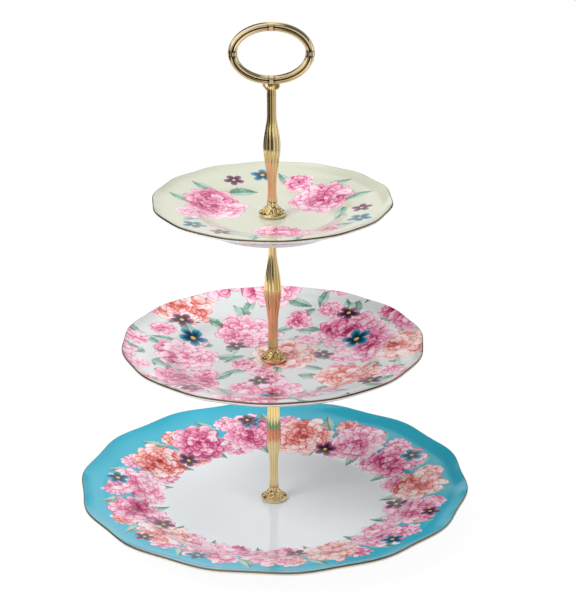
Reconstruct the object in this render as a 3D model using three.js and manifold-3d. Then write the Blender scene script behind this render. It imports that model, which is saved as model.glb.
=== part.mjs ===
// Three-tier cake stand: three scalloped china plates clamped on a gilt metal stem with a loop handle.
// Millimetres, +Z up. The origin is on the table, under the middle of the stem.
import * as THREE from 'three';
import { mergeVertices } from 'three/addons/utils/BufferGeometryUtils.js';
import Module from 'manifold-3d';

const wasm = await Module();
wasm.setup();

// ---------- driving dimensions ----------

const seatGap = 0.3; // left between stacked faces
const threadGap = 0.3; // radial, between a stud and its tapped hole
const washerClearance = 0.5; // radial, between a stud and the washers and collars it passes through
const plateClearance = 1.2; // radial, between a stud and the hole drilled in the china
const tableClearance = 0.4; // between the base screw and the table

const studRadius = 2; // M4
const studEngagement = 5.6; // thread held by the rod below, eight turns of 0.7 mm
const studAnchor = 10; // fixed length inside the rod above
const holeRelief = 1.2; // tapped holes are this much deeper than the stud reaches
const studChamfer = 0.5;

const handleStudRadius = 1.5; // M3
const handleStudAnchor = 6;
const handleStudReach = 3.2; // into the loop's bar

const softWasherRadius = 8;
const seatWasherThickness = 0.5; // between collar and glaze
const cushionWasherThickness = 0.8; // under the plate
const metalWasherRadius = 8.6;
const metalWasherThickness = 0.8;
const washerBoreRadius = studRadius + washerClearance;
const seatStack = seatGap + seatWasherThickness + seatGap; // from the well up to the collar
const underStack = seatGap + cushionWasherThickness + seatGap + metalWasherThickness + seatGap;

const screwHeadRadius = 7.5;
const screwHeadHeight = 1.8;
const screwHeadBevel = 0.6;
const screwSlotWidth = 1.6;
const screwSlotDepth = 0.9;

// Plate heights are measured from the top of the flat well.
const scallopCount = 14; // lobes round every rim
const scallopSteps = 4; // edges in each lobe
const footFlare = 2.2; // how far the foot ring widens into the well's underside
const footInnerFlare = 1.4;
const plateHoleRadius = studRadius + plateClearance;
const bottomPlateSize = {
  rimRadius: 135, rimRise: 14.3, wellRadius: 82, shoulderRadius: 98, shoulderRise: 6.0,
  wellThickness: 4.0, rimThickness: 2.4, footRadius: 82, footWidth: 3.2,
  footHeight: underStack + screwHeadHeight + tableClearance,
  scallopDepth: 1.2, scallopPhase: -6.4,
};
const middlePlateSize = {
  rimRadius: 103.6, rimRise: 14.3, wellRadius: 60, shoulderRadius: 73, shoulderRise: 6.0,
  wellThickness: 4.0, rimThickness: 2.2, footRadius: 59.5, footWidth: 2.8, footHeight: 3.0,
  scallopDepth: 0.6, scallopPhase: 9.5,
};
const topPlateSize = {
  rimRadius: 80.8, rimRise: 11.9, wellRadius: 37, shoulderRadius: 51, shoulderRise: 5.2,
  wellThickness: 3.2, rimThickness: 2.0, footRadius: 44.5, footWidth: 2.4, footHeight: 3.0,
  scallopDepth: 0.55, scallopPhase: -8.7,
};

const collarRadius = 9.1;
const collarHeight = 9.0;
const collarDiscHeight = 2.0;
const collarDiscBevel = 0.5;
const collarGroove = 0.4; // between the disc and the dome
const collarDomeRadius = 7.5;
const collarLobeCount = 6;
const collarLobeDepth = 0.5;

// A rod is a lower neck, a swell that rises and falls, and an upper neck that ends in the head.
const rodNeckRadius = 3.05;
const rodFootRadius = 3.9;
const rodFootHeight = 4.5;
const rodHeadHeight = 2.2;
const rodHeadTaper = 1;
const fluteCount = 12;
const fluteDepth = 0.5; // at the widest part of the swell
const lowerRodSize = {
  lowerNeck: 13, swellRise: 29, swellFall: 28, upperNeck: 19.2, swellRadius: 5.9, headRadius: 4.2,
};
const middleRodSize = {
  lowerNeck: 13, swellRise: 29, swellFall: 28, upperNeck: 19.2, swellRadius: 5.9, headRadius: 4.2,
};
const upperRodSize = {
  lowerNeck: 10, swellRise: 29, swellFall: 22, upperNeck: 12.7, swellRadius: 5.8, headRadius: 3.3,
};

const loopHalfWidth = 25.3; // to the middle of the bar
const loopHalfHeight = 18.0;
const loopBarRadius = 2.95;
const loopBandRise = 0.3; // the four cross bands stand this proud of the bar

const colletRadius = 3.3;
const colletWaist = 3.0;
const colletHeight = 6.9; // from its foot to the underside of the loop
const colletCupRadius = 3.8; // round the underside of the loop
const colletCupDepth = 1.6; // from the middle of the bar down to the cup's edge
const leafThickness = 1.5;
const leafWidth = 4.4;
const leafReach = 5.9;
const leafRoot = 2.4;

// ---------- materials ----------

const topChina = new THREE.MeshStandardMaterial({ color: '#e2e2cd', roughness: 0.12, metalness: 0 });
const middleChina = new THREE.MeshStandardMaterial({ color: '#e9c6d2', roughness: 0.12, metalness: 0 });
const bottomChina = new THREE.MeshStandardMaterial({ color: '#4fb2cc', roughness: 0.12, metalness: 0 });
const gilt = new THREE.MeshStandardMaterial({ color: '#d8bc7c', roughness: 0.16, metalness: 1 });
const steel = new THREE.MeshStandardMaterial({ color: '#a9acb0', roughness: 0.3, metalness: 1 });
const silicone = new THREE.MeshStandardMaterial({ color: '#e6e6e2', roughness: 0.45, metalness: 0 });

// ---------- solids ----------

// Turns a profile of [radius, height] points round the Z axis. It starts and ends on the axis.
function turned(profile, segments) {
  const points = profile.map(([radius, height]) => new THREE.Vector2(radius, height));
  return new THREE.LatheGeometry(points, segments).rotateX(Math.PI / 2);
}

// The same for a profile that closes on itself.
function turnedRing(profile, segments) {
  return turned([...profile, profile[0]], segments);
}

// Moves every vertex along its own radius by what reach(radius, angle, height) gives.
function reachOut(geometry, reach) {
  const places = geometry.attributes.position;
  for (let i = 0; i < places.count; i++) {
    const x = places.getX(i);
    const y = places.getY(i);
    const radius = Math.hypot(x, y);
    if (radius > 0.001) {
      const scale = 1 + reach(radius, Math.atan2(y, x), places.getZ(i)) / radius;
      places.setXY(i, x * scale, y * scale);
    }
  }
  return geometry;
}

function toSolid(geometry) {
  const bare = geometry.clone();
  bare.deleteAttribute('normal');
  bare.deleteAttribute('uv');
  const merged = mergeVertices(bare, 0.0001);
  return new wasm.Manifold(new wasm.Mesh({
    numProp: 3,
    vertProperties: new Float32Array(merged.attributes.position.array),
    triVerts: new Uint32Array(merged.index.array),
  }));
}

function toGeometry(solid) {
  const mesh = solid.getMesh();
  const geometry = new THREE.BufferGeometry();
  geometry.setAttribute('position', new THREE.BufferAttribute(mesh.vertProperties, 3));
  geometry.setIndex(new THREE.BufferAttribute(mesh.triVerts, 1));
  geometry.computeVertexNormals();
  return geometry;
}

// An upright cylinder from one height to another.
function post(radius, from, to) {
  const cylinder = new THREE.CylinderGeometry(radius, radius, to - from, 20);
  return cylinder.rotateX(Math.PI / 2).translate(0, 0, (from + to) / 2);
}

// ---------- china ----------

// A plate with a flat well, a foot ring, a curved shoulder and a broad scalloped rim, drilled in the middle.
function plate(size) {
  const { rimRadius, rimRise, wellRadius, shoulderRadius, shoulderRise } = size;
  const { wellThickness, rimThickness, footRadius, footHeight, footWidth } = size;
  const lip = rimThickness / 2;
  const under = -wellThickness;
  const footBottom = under - footHeight;
  const shoulder = new THREE.QuadraticBezierCurve(
    new THREE.Vector2(shoulderRadius, shoulderRise),
    new THREE.Vector2(wellRadius * 0.4 + shoulderRadius * 0.6, shoulderRise * 0.1),
    new THREE.Vector2(wellRadius, 0),
  ).getPoints(3).map((point) => [point.x, point.y]);
  const rimMiddle = (shoulderRadius + rimRadius) / 2;
  const rimMiddleRise = shoulderRise * 0.56 + rimRise * 0.44; // the rim curls up a little towards its edge
  const profile = [
    [plateHoleRadius, under],
    [footRadius - footWidth / 2 - footInnerFlare, under],
    [footRadius - footWidth / 2, footBottom],
    [footRadius + footWidth / 2, footBottom],
    [footRadius + footWidth / 2 + footFlare, under],
    [shoulderRadius + 1, shoulderRise - rimThickness * 1.5],
    [rimMiddle, rimMiddleRise - rimThickness * 1.25],
    [rimRadius - lip, rimRise - rimThickness],
    [rimRadius, rimRise - lip * 0.7],
    [rimRadius - lip, rimRise],
    [rimMiddle, rimMiddleRise],
    ...shoulder,
    [plateHoleRadius, 0],
  ];
  const scallop = (radius, angle) => {
    const growth = THREE.MathUtils.smoothstep(radius, shoulderRadius, rimRadius);
    return growth * size.scallopDepth * Math.cos(scallopCount * (angle + Math.PI / 2));
  };
  const china = reachOut(turnedRing(profile, scallopCount * scallopSteps), scallop);
  return china.rotateZ(THREE.MathUtils.degToRad(90 + size.scallopPhase));
}

// ---------- stem ----------

function rodLength(size) {
  return size.lowerNeck + size.swellRise + size.swellFall + size.upperNeck;
}

// A fluted baluster with a tapped blind hole in each end.
function rod(size, footHole, headHole) {
  const { headRadius, swellRadius } = size;
  const length = rodLength(size);
  const swellStart = size.lowerNeck;
  const swellPeak = swellStart + size.swellRise;
  const swellEnd = swellPeak + size.swellFall;
  const swellAt = (height) => THREE.MathUtils.smoothstep(height, swellStart, swellPeak)
    * (1 - THREE.MathUtils.smoothstep(height, swellPeak, swellEnd));
  const barrel = [];
  const barrelSteps = 8;
  for (let i = 0; i <= barrelSteps; i++) {
    const height = THREE.MathUtils.lerp(swellStart, swellEnd, i / barrelSteps);
    barrel.push([THREE.MathUtils.lerp(rodNeckRadius, swellRadius, swellAt(height)), height]);
  }
  const profile = [
    [0, footHole.depth],
    [footHole.radius, footHole.depth],
    [footHole.radius, 0],
    [rodFootRadius, 0],
    [rodNeckRadius * 0.7 + rodFootRadius * 0.3, rodFootHeight],
    ...barrel,
    [rodNeckRadius, length - rodHeadHeight - rodHeadTaper],
    [headRadius, length - rodHeadHeight],
    [headRadius, length],
    [headHole.radius, length],
    [headHole.radius, length - headHole.depth],
    [0, length - headHole.depth],
  ];
  const flute = (radius, angle, height) => {
    const groove = 0.5 + 0.5 * Math.cos(fluteCount * angle);
    return -fluteDepth * swellAt(height) * groove;
  };
  return reachOut(turned(profile, fluteCount * 2), flute);
}

// A disc with a lobed dome on it, bored for the stud.
function collar() {
  const domeBase = collarDiscHeight + collarGroove;
  const domeHeight = collarHeight - domeBase;
  const neck = rodFootRadius;
  const dome = (share, lift) => [neck + (collarDomeRadius - neck) * share, domeBase + domeHeight * lift];
  const profile = [
    [washerBoreRadius, 0],
    [collarRadius - collarDiscBevel, 0],
    [collarRadius, collarDiscBevel],
    [collarRadius, collarDiscHeight - collarDiscBevel],
    [collarRadius - collarDiscBevel, collarDiscHeight],
    dome(0.9, 0),
    dome(1, 0.2),
    dome(0.85, 0.45),
    dome(0.3, 0.64),
    dome(0, 0.72),
    [neck, collarHeight],
    [washerBoreRadius, collarHeight],
  ];
  const lobe = (radius, angle, height) => {
    const onDome = radius > neck + 0.1 && height > collarDiscHeight + collarGroove / 2;
    const valley = 0.5 + 0.5 * Math.cos(collarLobeCount * (angle + Math.PI / 2));
    return onDome ? -collarLobeDepth * valley : 0;
  };
  return reachOut(turnedRing(profile, collarLobeCount * 4), lobe);
}

function washer(radius, thickness) {
  const bore = washerBoreRadius;
  return turnedRing([[bore, 0], [radius, 0], [radius, thickness], [bore, thickness]], 20);
}

function stud(radius, from, to) {
  return turned([
    [0, from],
    [radius - studChamfer, from],
    [radius, from + studChamfer],
    [radius, to - studChamfer],
    [radius - studChamfer, to],
    [0, to],
  ], 16);
}

// A low slotted head, face down, under a shank that reaches up to the given height.
function baseScrew(shankTop) {
  const body = toSolid(turned([
    [0, 0],
    [screwHeadRadius - screwHeadBevel, 0],
    [screwHeadRadius, screwHeadBevel],
    [screwHeadRadius, screwHeadHeight],
    [studRadius, screwHeadHeight],
    [studRadius, shankTop - studChamfer],
    [studRadius - studChamfer, shankTop],
    [0, shankTop],
  ], 24));
  const slot = new THREE.BoxGeometry(screwHeadRadius * 3, screwSlotWidth, screwSlotDepth * 2);
  return toGeometry(body.subtract(toSolid(slot)));
}

// ---------- handle ----------

// The oval bar of the loop, round the Y axis, with its middle at the origin: a torus whose rings are
// moved to an ellipse.
function loopBar(barRadius) {
  const torusRadius = 10;
  const ring = new THREE.TorusGeometry(torusRadius, 1, 12, 56);
  const places = ring.attributes.position;
  for (let i = 0; i < places.count; i++) {
    const x = places.getX(i);
    const y = places.getY(i);
    const turn = Math.atan2(y, x);
    const atBand = Math.abs(Math.sin(2 * turn)) < 0.01;
    const radius = barRadius + (atBand ? loopBandRise : 0);
    const outward = new THREE.Vector2(loopHalfHeight * Math.cos(turn), loopHalfWidth * Math.sin(turn));
    outward.normalize();
    const place = new THREE.Vector2(loopHalfWidth * Math.cos(turn), loopHalfHeight * Math.sin(turn));
    place.addScaledVector(outward, (Math.hypot(x, y) - torusRadius) * radius);
    places.setXYZ(i, place.x, -places.getZ(i) * radius, place.y);
  }
  return ring;
}

function handleLoop() {
  const barBottom = -loopHalfHeight - loopBarRadius;
  const hole = post(handleStudRadius + threadGap, barBottom * 2, barBottom + handleStudReach + threadGap);
  return toGeometry(toSolid(loopBar(loopBarRadius)).subtract(toSolid(hole)));
}

// One curled leaf, drawn in the XZ plane from the middle of the collet out to its tip and extruded along Y.
function leaf(side) {
  const tip = colletHeight;
  const outline = new THREE.Shape();
  outline.moveTo(0, leafRoot);
  outline.lineTo(colletRadius * 0.8, leafRoot);
  outline.quadraticCurveTo(leafReach * 0.85, leafRoot + 1.2, leafReach, tip - 0.4);
  outline.lineTo(leafReach - leafThickness * 0.8, tip);
  outline.quadraticCurveTo(leafReach * 0.55, leafRoot + 1.4 + leafThickness, 0, leafRoot + 1 + leafThickness);
  const settings = { depth: leafWidth, bevelEnabled: false, curveSegments: 5 };
  const shape = new THREE.ExtrudeGeometry(outline, settings);
  shape.rotateX(Math.PI / 2).translate(0, leafWidth / 2, 0);
  return side > 0 ? shape : shape.rotateZ(Math.PI);
}

// The cup that carries the loop, with a leaf up each side and a saddle that follows the bar.
function handleCollet(barMiddle) {
  const cupEdge = barMiddle - colletCupDepth;
  const cup = toSolid(turned([
    [0, 0],
    [colletRadius, 0],
    [colletRadius + 0.2, 0.5],
    [colletWaist, 1.2],
    [colletWaist, leafRoot + leafThickness],
    [colletCupRadius, cupEdge - 0.6],
    [colletCupRadius, cupEdge],
    [0, cupEdge],
  ], 20));
  const saddle = toSolid(loopBar(loopBarRadius + seatGap).translate(0, 0, barMiddle + loopHalfHeight));
  const bore = toSolid(post(handleStudRadius + threadGap, -1, barMiddle));
  return toGeometry(cup.add(toSolid(leaf(1))).add(toSolid(leaf(-1))).subtract(saddle).subtract(bore));
}

// ---------- assembly, stacked upward from the table ----------

const stand = new THREE.Group();

function place(name, geometry, material, height) {
  const mesh = new THREE.Mesh(geometry, material);
  mesh.name = name;
  mesh.position.z = height;
  stand.add(mesh);
}

// Puts on a plate, the two washers under it, the soft washer on it and the collar over that, and gives
// the height at which the rod stands.
function addTier(names, size, wellTop, china) {
  const cushion = wellTop - size.wellThickness - seatGap - cushionWasherThickness;
  place(names.plate, plate(size), china, wellTop);
  place(names.cushion, washer(softWasherRadius, cushionWasherThickness), silicone, cushion);
  const metal = cushion - seatGap - metalWasherThickness;
  place(names.washer, washer(metalWasherRadius, metalWasherThickness), gilt, metal);
  place(names.seat, washer(softWasherRadius, seatWasherThickness), silicone, wellTop + seatGap);
  place(names.collar, collar(), gilt, wellTop + seatStack);
  return wellTop + seatStack + collarHeight + seatGap;
}

const footHole = { radius: studRadius + threadGap, depth: studAnchor + holeRelief };
const headHole = { radius: studRadius + threadGap, depth: studEngagement + holeRelief };
const handleHole = { radius: handleStudRadius + threadGap, depth: handleStudAnchor + holeRelief };

const bottomWell = bottomPlateSize.footHeight + bottomPlateSize.wellThickness;
const lowerRodFoot = addTier({
  plate: 'bottom_plate', cushion: 'bottom_cushion_washer', washer: 'bottom_metal_washer',
  seat: 'lower_seat_washer', collar: 'lower_collar',
}, bottomPlateSize, bottomWell, bottomChina);
place('lower_rod', rod(lowerRodSize, footHole, headHole), gilt, lowerRodFoot);
place('base_screw', baseScrew(lowerRodFoot + studAnchor - tableClearance), steel, tableClearance);

const lowerRodHead = lowerRodFoot + rodLength(lowerRodSize);
const middleWell = lowerRodHead + underStack + middlePlateSize.wellThickness;
const middleRodFoot = addTier({
  plate: 'middle_plate', cushion: 'middle_cushion_washer', washer: 'middle_metal_washer',
  seat: 'middle_seat_washer', collar: 'middle_collar',
}, middlePlateSize, middleWell, middleChina);
place('middle_rod', rod(middleRodSize, footHole, headHole), gilt, middleRodFoot);
place('middle_stud', stud(studRadius, lowerRodHead - studEngagement, middleRodFoot + studAnchor), steel, 0);

const middleRodHead = middleRodFoot + rodLength(middleRodSize);
const topWell = middleRodHead + underStack + topPlateSize.wellThickness;
const upperRodFoot = addTier({
  plate: 'top_plate', cushion: 'top_cushion_washer', washer: 'top_metal_washer',
  seat: 'upper_seat_washer', collar: 'upper_collar',
}, topPlateSize, topWell, topChina);
place('upper_rod', rod(upperRodSize, footHole, handleHole), gilt, upperRodFoot);
place('upper_stud', stud(studRadius, middleRodHead - studEngagement, upperRodFoot + studAnchor), steel, 0);

const upperRodHead = upperRodFoot + rodLength(upperRodSize);
const colletFoot = upperRodHead + seatGap;
const barBottom = colletFoot + colletHeight;
place('handle_collet', handleCollet(colletHeight + loopBarRadius), gilt, colletFoot);
const handleStudFoot = upperRodHead - handleStudAnchor;
place('handle_stud', stud(handleStudRadius, handleStudFoot, barBottom + handleStudReach), steel, 0);
place('handle_loop', handleLoop(), gilt, barBottom + loopBarRadius + loopHalfHeight);

export default stand;
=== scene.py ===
from math import acos, atan2, cos, dist, hypot, pi, radians, sin

import bmesh
import bpy
from mathutils import Matrix, Vector


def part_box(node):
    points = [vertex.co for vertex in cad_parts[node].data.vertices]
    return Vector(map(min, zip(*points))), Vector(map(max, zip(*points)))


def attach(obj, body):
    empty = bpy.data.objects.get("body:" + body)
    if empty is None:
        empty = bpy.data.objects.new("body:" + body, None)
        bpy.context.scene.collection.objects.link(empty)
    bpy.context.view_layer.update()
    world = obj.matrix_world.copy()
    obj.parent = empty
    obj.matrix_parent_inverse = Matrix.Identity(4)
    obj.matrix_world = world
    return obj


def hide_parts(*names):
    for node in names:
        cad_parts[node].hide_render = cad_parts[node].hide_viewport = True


# Three-tier cake stand. Sizes are in millimetres unless a name says otherwise; the frame is in metres.
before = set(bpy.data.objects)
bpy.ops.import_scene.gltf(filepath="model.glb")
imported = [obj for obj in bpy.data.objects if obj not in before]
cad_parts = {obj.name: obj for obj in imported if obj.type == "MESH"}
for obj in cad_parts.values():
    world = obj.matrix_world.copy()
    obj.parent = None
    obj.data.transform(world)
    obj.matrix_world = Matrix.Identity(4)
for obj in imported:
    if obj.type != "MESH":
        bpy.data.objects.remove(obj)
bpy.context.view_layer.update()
mm = 0.001
wholeTurn = 2 * pi
print("frame loaded:", len(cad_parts), "parts")

inWork = {}  # the node tree that new nodes go to


def startTree(tree):
    tree.nodes.clear()
    inWork["tree"] = tree


def plug(value, socket):
    if isinstance(value, bpy.types.NodeSocket):
        inWork["tree"].links.new(value, socket)
    else:
        socket.default_value = value


def newNode(kind, values=(), **choices):
    # Adds a shader node, sets its choices, and plugs its inputs by order or by name
    node = inWork["tree"].nodes.new("ShaderNode" + kind)
    for name, choice in choices.items():
        setattr(node, name, choice)
    named = values if isinstance(values, dict) else dict(enumerate(values))
    for name, value in named.items():
        plug(value, node.inputs[name])
    return node


def calc(operation, *values):
    return newNode("Math", values, operation=operation).outputs[0]


def plus(first, second):
    return calc("ADD", first, second)


def minus(first, second):
    return calc("SUBTRACT", first, second)


def times(first, second):
    return calc("MULTIPLY", first, second)


def timesPlus(first, second, third):
    return calc("MULTIPLY_ADD", first, second, third)


def keepIn(value):
    # No less than 0 and no more than 1
    return calc("MINIMUM", calc("MAXIMUM", value, 0.0), 1.0)


def calcVector(operation, *values):
    node = newNode("VectorMath", values, operation=operation)
    return node.outputs["Value" if operation == "LENGTH" else "Vector"]


def joinParts(x=0.0, y=0.0, z=0.0):
    return newNode("CombineXYZ", (x, y, z)).outputs[0]


def splitParts(vector):
    return tuple(newNode("SeparateXYZ", (vector,)).outputs)


def spinPlace(place, angle):
    values = {"Vector": place, "Angle": angle}
    return newNode("VectorRotate", values, rotation_type="Z_AXIS").outputs[0]


def turnShare(x, y):
    # Where a point lies round the middle, as a share of a whole turn
    return calc("DIVIDE", calc("ARCTAN2", y, x), wholeTurn)


def polar(place):
    # How far a point is from the middle, and where round it
    x, y, _ = splitParts(place)
    far = calc("SQRT", timesPlus(x, x, times(y, y)))
    return far, turnShare(x, y)


def fade(value, start, end):
    # 0 at start, 1 at end
    values = {"Value": value, "From Min": start, "From Max": end}
    return newNode("MapRange", values, interpolation_type="SMOOTHSTEP").outputs[0]


def towards(first, second, share):
    return timesPlus(minus(second, first), share, first)


def paint(code):
    # "#rrggbb" as a linear colour
    parts = [int(code[i:i + 2], 16) / 255 for i in (1, 3, 5)]
    return (*[part / 12.92 if part <= 0.04045 else ((part + 0.055) / 1.055) ** 2.4 for part in parts], 1)


def layColour(share, under, over):
    # A Mix node's sockets 6 and 7 take colours, and its socket 2 gives one
    return newNode("Mix", {0: share, 6: under, 7: over}, data_type="RGBA").outputs[2]


def ramp(value, stops):
    node = newNode("ValToRGB", (value,))
    elements = node.color_ramp.elements
    for element, (place, code) in zip(elements, (stops[0], stops[-1])):
        element.position, element.color = place, paint(code)
    for place, code in stops[1:-1]:
        elements.new(place).color = paint(code)
    return node.outputs[0]


def grain(vector, scale, detail=2.0, output=0):
    values = {"Vector": vector, "Scale": scale, "Detail": detail}
    return newNode("TexNoise", values).outputs[output]


def chance(number):
    # A fixed random number from 0 to 1 for each whole number
    return newNode("TexWhiteNoise", {"W": number}, noise_dimensions="1D").outputs["Value"]


def bumps(height, strength, metres):
    return newNode("Bump", {"Strength": strength, "Distance": metres, "Height": height}).outputs[0]


def newGroup(name, inlets, outlets):
    tree = bpy.data.node_groups.new(name, "ShaderNodeTree")
    startTree(tree)
    for socketName, kind in inlets.items():
        tree.interface.new_socket(name=socketName, in_out="INPUT", socket_type="NodeSocket" + kind)
    for socketName in outlets:
        tree.interface.new_socket(name=socketName, in_out="OUTPUT", socket_type="NodeSocketFloat")
    return tree.nodes.new("NodeGroupInput"), tree.nodes.new("NodeGroupOutput")


def closeGroup(outlet, *values):
    for value, socket in zip(values, outlet.inputs):
        plug(value, socket)
    return inWork["tree"]


def useGroup(group, *values):
    return newNode("Group", values, node_tree=group).outputs


def newMaterial(name):
    material = bpy.data.materials.new(name)
    material.use_nodes = True
    startTree(material.node_tree)
    return material


def mixShaders(share, under, over):
    return newNode("MixShader", (share, under.outputs[0], over.outputs[0]))


def coverWith(shader, output="Material"):
    newNode("Output" + output, {"Surface": shader.outputs[0]})


def heightsOf(node):
    # Where a CAD node starts and ends
    return [corner.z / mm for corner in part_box(node)]


def easeBetween(value, start, end):
    share = min(max((value - start) / (end - start), 0), 1)
    return share * share * (3 - 2 * share)


def spin(bm, geom, angle, steps, axis=(0, 0, 1), climb=0, merge=False):
    # climb is the rise at each step; a whole turn is merged where its ends meet
    bmesh.ops.spin(bm, geom=geom, cent=(0, 0, 0), axis=axis, dvec=(0, 0, climb), angle=angle, steps=steps,
                   use_merge=merge, use_duplicate=False)


def move(bm, way, verts=None):
    bmesh.ops.translate(bm, vec=way, verts=verts or bm.verts)


def rotate(bm, verts, axis, angle):
    bmesh.ops.rotate(bm, verts=verts, cent=(0, 0, 0), matrix=Matrix.Rotation(angle, 3, axis))


def addChain(bm, points, closed=False):
    # A vertex at each point, and an edge from each to the next
    verts = [bm.verts.new(point) for point in points]
    ends = verts[1:] + verts[:1] if closed else verts[1:]
    return verts, [bm.edges.new(pair) for pair in zip(verts, ends)]


def edgesOf(verts):
    return list({edge for vert in verts for edge in vert.link_edges})


def closeEnds(bm):
    bmesh.ops.holes_fill(bm, edges=[edge for edge in bm.edges if edge.is_boundary], sides=0)


def curve(start, bend, end, count):
    # The points of a curved stretch, without its first
    points = []
    for i in range(1, count + 1):
        t = i / count
        points.append(tuple(
            a * (1 - t) ** 2 + b * 2 * t * (1 - t) + c * t * t for a, b, c in zip(start, bend, end)
        ))
    return points


def traceOutline(steps):
    # A step is a point or a curve. A curve is its bend, its end and its number of points, and before them
    # its start where that isn't the outline's last point.
    outline = []
    for step in steps:
        if len(step) == 2:
            outline.append(step)
        else:
            *start, bend, end, count = step
            outline += curve(start[0] if start else outline[-1], bend, end, count)
    return outline


def spinOutline(steps, segments, closed=False):
    # Turns an outline of (radius, height) points once round Z
    bm = bmesh.new()
    chain, edges = addChain(bm, [(radius, 0, height) for radius, height in traceOutline(steps)], closed)
    spin(bm, chain + edges, wholeTurn, segments, merge=True)
    bmesh.ops.remove_doubles(bm, verts=bm.verts, dist=0.0005)
    bmesh.ops.recalc_face_normals(bm, faces=bm.faces)
    return bm


def addObject(name, data):
    made = bpy.data.objects.new(name, data)
    bpy.context.collection.objects.link(made)
    return made


def meshObject(name, bm, material):
    mesh = bpy.data.meshes.new(name)
    bm.to_mesh(mesh)
    bm.free()
    mesh.materials.append(material)
    return addObject(name, mesh)


def makePiece(bm, name, node, body, material, crease):
    # Edges that bend by crease degrees or more stay sharp
    bmesh.ops.recalc_face_normals(bm, faces=bm.faces)
    for face in bm.faces:
        face.smooth = True
    for edge in bm.edges:
        if len(edge.link_faces) == 2:
            edge.smooth = edge.calc_face_angle() < radians(crease)
    bmesh.ops.scale(bm, vec=(mm, mm, mm), verts=bm.verts)
    piece = meshObject(name, bm, material)
    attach(piece, body)
    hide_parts(node)


camera = {
    "place": (0, -1457.7, 742.8),
    "lens": 138.6,
    "sensor": 36,
    "pitch": 21.82,  # degrees below the horizon
    "yaw": 0.406,
    "roll": -0.217,
    "farthest": 20000,
}
studio = {
    "fill": 0.42,
    "aim": (0, 0, 150),
    "lamps": {
        "key": {"place": (-1300, -1000, 1500), "size": 1000, "watts": 26},
        "side": {"place": (1500, -900, 900), "size": 900, "watts": 7},
        "top": {"place": (-300, 300, 1900), "size": 1200, "watts": 12},
    },
}
paperSweep = {
    "size": 4000,
    "drop": 0.1,
    "grey": 0.9,
    "glow": 1.04,
    "white": 0.9,  # how far the floor is the backdrop's own white
}
# Flats that only mirrors see, as a studio hangs them. Each is part of an upright drum round the stand:
# its radius, the heights and the angles it covers (anticlockwise from +X), its shade, where 1 is white, and
# how far its paint fades out towards its sides and its top.
flats = {
    "lowLeft": {"radius": 430, "heights": (95, 445), "angles": (150, 262), "shade": 0.03, "soft": 60},
    "lowFront": {"radius": 450, "heights": (0, 305), "angles": (256, 352), "shade": 0.42, "soft": 70},
    "highFront": {"radius": 1250, "heights": (420, 1750), "angles": (-112, -8), "shade": 0.09, "soft": 140},
    "lowBack": {"radius": 630, "heights": (0, 360), "angles": (40, 92), "shade": 0.06, "soft": 90},
    "highBack": {"radius": 700, "heights": (330, 820), "angles": (20, 86), "shade": 0.45, "soft": 200},
    "lowBackLeft": {"radius": 1200, "heights": (0, 450), "angles": (92, 132), "shade": 0.05, "soft": 90},
    "overhead": {"radius": 600, "heights": (540, 2300), "angles": (-75, 84), "shade": 0.14, "soft": 200},
    # this flat glows brighter than white to paint highlights on the collars and loop
    "highlightCard": {"radius": 420, "heights": (290, 450), "angles": (196, 262), "shade": 1.6, "soft": 50},
    "highBackLeft": {"radius": 1210, "heights": (600, 2200), "angles": (91, 142), "shade": 0.05, "soft": 160},
}


def makeCamera():
    lens = bpy.data.cameras.new("camera")
    lens.lens = camera["lens"]
    lens.sensor_width = camera["sensor"]
    lens.clip_end = camera["farthest"] * mm
    holder = addObject("camera", lens)
    turns = (("Z", -camera["yaw"]), ("X", 90 - camera["pitch"]), ("Z", camera["roll"]))
    facing = Matrix.Identity(3)
    for axis, degrees in turns:
        facing = facing @ Matrix.Rotation(radians(degrees), 3, axis)
    holder.location = Vector(camera["place"]) * mm
    holder.rotation_euler = facing.to_euler()
    bpy.context.scene.camera = holder


def makeLamp(name, settings):
    # The lamps light the stand, and mirrors don't see them
    lamp = bpy.data.lights.new(name, "AREA")
    lamp.size = settings["size"] * mm
    lamp.energy = settings["watts"]
    holder = addObject(name, lamp)
    holder.location = Vector(settings["place"]) * mm
    direction = Vector(studio["aim"]) * mm - holder.location
    holder.rotation_euler = direction.to_track_quat("-Z", "Y").to_euler()
    holder.visible_glossy = False


def seenDirectly():
    # 1 for rays from the camera, a mirror or glass, 0 for the light that falls on things
    path = newNode("LightPath")
    sharp = calc("MAXIMUM", path.outputs["Is Camera Ray"], path.outputs["Is Glossy Ray"])
    return calc("MAXIMUM", sharp, path.outputs["Is Transmission Ray"])


def makeWorld():
    world = bpy.data.worlds.new("studio")
    world.use_nodes = True
    bpy.context.scene.world = world
    startTree(world.node_tree)
    fill = newNode("Background", {"Strength": studio["fill"]})
    white = newNode("Background", {"Color": (1, 1, 1, 1), "Strength": 1})
    coverWith(mixShaders(seenDirectly(), fill, white), "World")


def makeFloor():
    material = newMaterial("paperSweep")
    grey = paperSweep["grey"]
    paper = newNode("BsdfDiffuse", {"Color": (grey, grey, grey, 1)})
    white = newNode("Emission", {"Strength": paperSweep["glow"]})
    share = times(seenDirectly(), paperSweep["white"])
    coverWith(mixShaders(share, paper, white))
    bm = bmesh.new()
    bmesh.ops.create_grid(bm, x_segments=1, y_segments=1, size=paperSweep["size"] * mm)
    move(bm, (0, 0, -paperSweep["drop"] * mm))
    floor = meshObject("floor", bm, material)


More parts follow.
